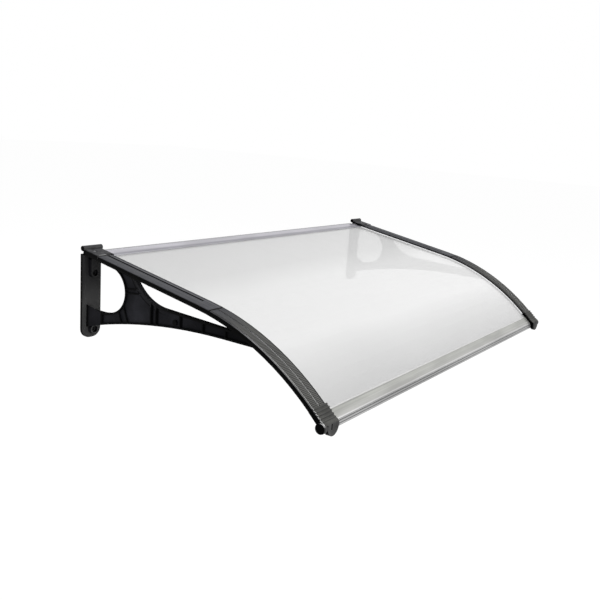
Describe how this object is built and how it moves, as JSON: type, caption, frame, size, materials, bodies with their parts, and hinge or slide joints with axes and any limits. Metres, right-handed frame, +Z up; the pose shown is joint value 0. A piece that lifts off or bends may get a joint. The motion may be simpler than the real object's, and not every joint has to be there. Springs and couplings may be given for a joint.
{
  "type": "door canopy",
  "caption": "Wall-mounted door canopy: a clear sheet, straight then bent down at the front, held by two moulded plastic brackets and edged by front and rear aluminium bars.",
  "frame": {"origin": "centre of the wall seal's flat back face, on the wall plane at the middle of the width", "axes": "+X from the left bracket to the right one as seen standing in front of the wall, +Y into the wall, +Z up; the canopy reaches out along -Y"},
  "size_m": [1.006, 0.5651, 0.2165],
  "materials": {
    "bracket_black": "moulded black plastic, satin",
    "strip_grey": "dark grey plastic with fine cross lines",
    "cap_grey": "dark grey moulded plastic",
    "clear_plastic": "clear polycarbonate sheet, glossy",
    "aluminium": "mill aluminium, fine lengthwise lines",
    "seal_clear": "clear soft sealing strip",
    "seal_grey": "grey foam-like rubber",
    "screw_steel": "zinc-plated screw"
  },
  "bodies": {
    "root": {"left_bracket": "bracket_black", "left_rear_cover_strip": "strip_grey", "left_front_cover_strip": "strip_grey", "left_wall_cap": "cap_grey", "left_front_cap": "cap_grey", "left_side_seal": "seal_clear", "left_wall_cap_screw": "screw_steel", "left_rear_strip_screw_1": "screw_steel", "left_rear_strip_screw_2": "screw_steel", "left_rear_strip_screw_3": "screw_steel", "left_front_strip_screw_1": "screw_steel", "left_front_strip_screw_2": "screw_steel", "left_front_strip_screw_3": "screw_steel", "right_bracket": "bracket_black", "right_rear_cover_strip": "strip_grey", "right_front_cover_strip": "strip_grey", "right_wall_cap": "cap_grey", "right_front_cap": "cap_grey", "right_side_seal": "seal_clear", "right_wall_cap_screw": "screw_steel", "right_rear_strip_screw_1": "screw_steel", "right_rear_strip_screw_2": "screw_steel", "right_rear_strip_screw_3": "screw_steel", "right_front_strip_screw_1": "screw_steel", "right_front_strip_screw_2": "screw_steel", "right_front_strip_screw_3": "screw_steel", "clear_sheet": "clear_plastic", "rear_bar": "aluminium", "front_bar": "aluminium", "wall_seal": "seal_grey"}
  },
  "joints": []
}
